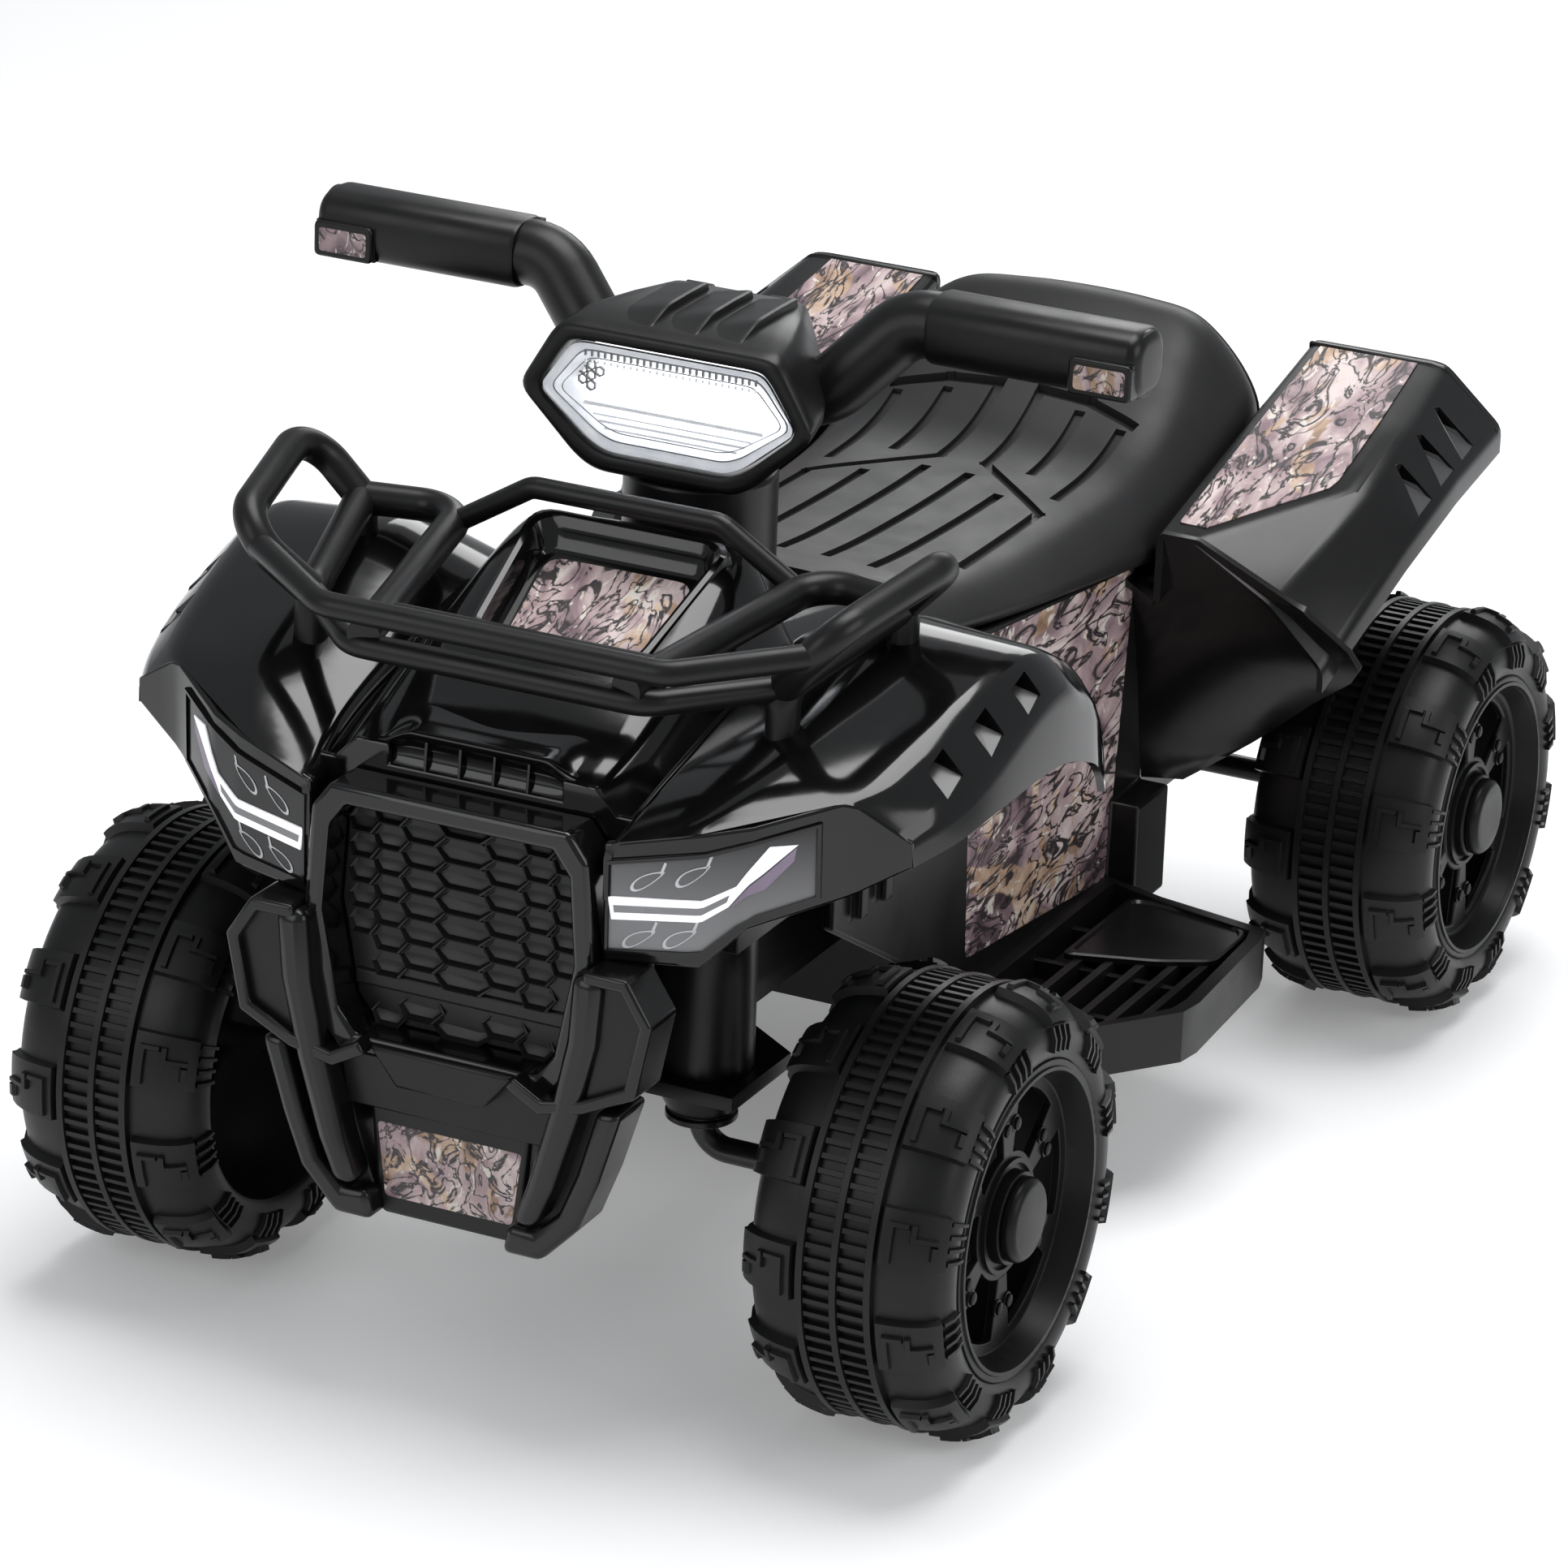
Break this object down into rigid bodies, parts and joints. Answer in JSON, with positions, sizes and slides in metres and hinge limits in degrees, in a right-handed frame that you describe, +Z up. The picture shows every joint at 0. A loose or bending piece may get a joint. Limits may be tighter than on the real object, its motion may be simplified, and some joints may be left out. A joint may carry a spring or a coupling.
{
  "type": "kids quad bike",
  "caption": "Toddler ride-on quad bike with a steering handlebar and headlight, a front rack, moulded fenders, a low saddle, side footboards and chunky wheels.",
  "frame": {"origin": "middle of the bounding box on the ground plane", "axes": "+X forwards, +Y to the rider's left, +Z up"},
  "size_m": [0.664, 0.397, 0.397],
  "materials": {
    "gloss_black": "high-gloss moulded",
    "matte_black": "fine matte moulded",
    "seat_black": "fine leather-grain moulded",
    "grille_black": "matte moulded",
    "rack_black": "satin moulded",
    "tyre_black": "matte blow-moulded",
    "rim_black": "semi-gloss moulded",
    "light_panel": "gloss printed panel",
    "lens_clear": "clear ribbed moulding",
    "board_white": "white lamp board",
    "steel": "black-coated steel",
    "gear_grey": "plain moulded",
    "motor_steel": "plated can",
    "battery_grey": "plain moulded",
    "button_red": "plain moulded"
  },
  "bodies": {
    "chassis": {"front_cover": "gloss_black", "grille_frame": "gloss_black", "bumper_guard": "gloss_black", "front_fender_left": "gloss_black", "front_fender_right": "gloss_black", "body_side_left": "matte_black", "body_side_right": "matte_black", "rear_fender_left": "matte_black", "rear_fender_right": "matte_black", "footboard_left": "matte_black", "footboard_right": "matte_black", "skid_plate": "matte_black", "kingpin_post_left": "matte_black", "kingpin_post_right": "matte_black", "front_subframe": "matte_black", "chassis_tray": "matte_black", "seat": "seat_black", "grille_insert": "grille_black", "rack_rail_left": "rack_black", "rack_rail_right": "rack_black", "rack_front_bars": "rack_black", "rack_cross_bar": "rack_black", "rack_inner_rails": "rack_black", "rack_rear_hoop": "rack_black", "light_panel_left": "light_panel", "light_panel_right": "light_panel", "rear_axle": "steel", "body_screws": "steel", "gearbox": "gear_grey", "charge_socket": "gear_grey", "drive_motor": "motor_steel", "battery": "battery_grey"},
    "steering": {"handlebar": "matte_black", "headlight_pod": "matte_black", "headlight_lens": "lens_clear", "light_board": "board_white", "column_neck": "matte_black", "steering_column": "steel", "steering_arm": "steel"},
    "drive_button": {"drive_button": "button_red"},
    "power_switch": {"power_switch": "button_red"},
    "direction_switch": {"direction_switch": "button_red"},
    "tie_link": {"tie_link": "steel"},
    "knuckle_left": {"knuckle_rod_left": "steel", "steering_lever_left": "steel"},
    "front_wheel_left": {"front_left_tyre": "tyre_black", "front_left_rim": "rim_black", "front_left_hub_cap": "rim_black"},
    "rear_wheel_left": {"rear_left_tyre": "tyre_black", "rear_left_rim": "rim_black", "rear_left_hub_cap": "rim_black"},
    "knuckle_right": {"knuckle_rod_right": "steel", "steering_lever_right": "steel"},
    "front_wheel_right": {"front_right_tyre": "tyre_black", "front_right_rim": "rim_black", "front_right_hub_cap": "rim_black"},
    "rear_wheel_right": {"rear_right_tyre": "tyre_black", "rear_right_rim": "rim_black", "rear_right_hub_cap": "rim_black", "drive_sleeve": "gear_grey"}
  },
  "joints": [
    {"name": "steer", "type": "hinge", "parent": "chassis", "child": "steering", "pos_m": [0.125, 0, 0.3], "axis": [0, 0, 1], "range_deg": [-20, 20]},
    {"name": "link_shift", "type": "slide", "parent": "chassis", "child": "tie_link", "axis": [0, 1, 0], "range_m": [-0.014, 0.014]},
    {"name": "drive_press", "type": "slide", "parent": "steering", "child": "drive_button", "axis": [1, 0, 0], "range_m": [0, 0.0025], "stiffness_N_per_m": 200},
    {"name": "power_rock", "type": "hinge", "parent": "steering", "child": "power_switch", "pos_m": [0.0975, 0.018, 0.372], "axis": [0, 1, 0], "range_deg": [-7, 7]},
    {"name": "direction_rock", "type": "hinge", "parent": "steering", "child": "direction_switch", "pos_m": [0.0975, -0.018, 0.372], "axis": [0, 1, 0], "range_deg": [-7, 7]},
    {"name": "knuckle_left_turn", "type": "hinge", "parent": "chassis", "child": "knuckle_left", "pos_m": [0.229, 0.06, 0.15], "axis": [0, 0, 1], "range_deg": [-20, 20]},
    {"name": "front_left_spin", "type": "hinge", "parent": "knuckle_left", "child": "front_wheel_left", "pos_m": [0.229, 0.1575, 0.088], "axis": [0, 1, 0], "continuous": true},
    {"name": "rear_left_spin", "type": "hinge", "parent": "chassis", "child": "rear_wheel_left", "pos_m": [-0.244, 0.1575, 0.088], "axis": [0, 1, 0], "continuous": true},
    {"name": "knuckle_right_turn", "type": "hinge", "parent": "chassis", "child": "knuckle_right", "pos_m": [0.229, -0.06, 0.15], "axis": [0, 0, 1], "range_deg": [-20, 20]},
    {"name": "front_right_spin", "type": "hinge", "parent": "knuckle_right", "child": "front_wheel_right", "pos_m": [0.229, -0.1575, 0.088], "axis": [0, 1, 0], "continuous": true},
    {"name": "rear_right_spin", "type": "hinge", "parent": "chassis", "child": "rear_wheel_right", "pos_m": [-0.244, -0.1575, 0.088], "axis": [0, 1, 0], "continuous": true}
  ],
  "couplings": [
    {"joint": "link_shift", "follows": "steer", "m_per_rad": 0.0396},
    {"joint": "knuckle_left_turn", "follows": "steer", "ratio": 1},
    {"joint": "knuckle_right_turn", "follows": "steer", "ratio": 1}
  ]
}
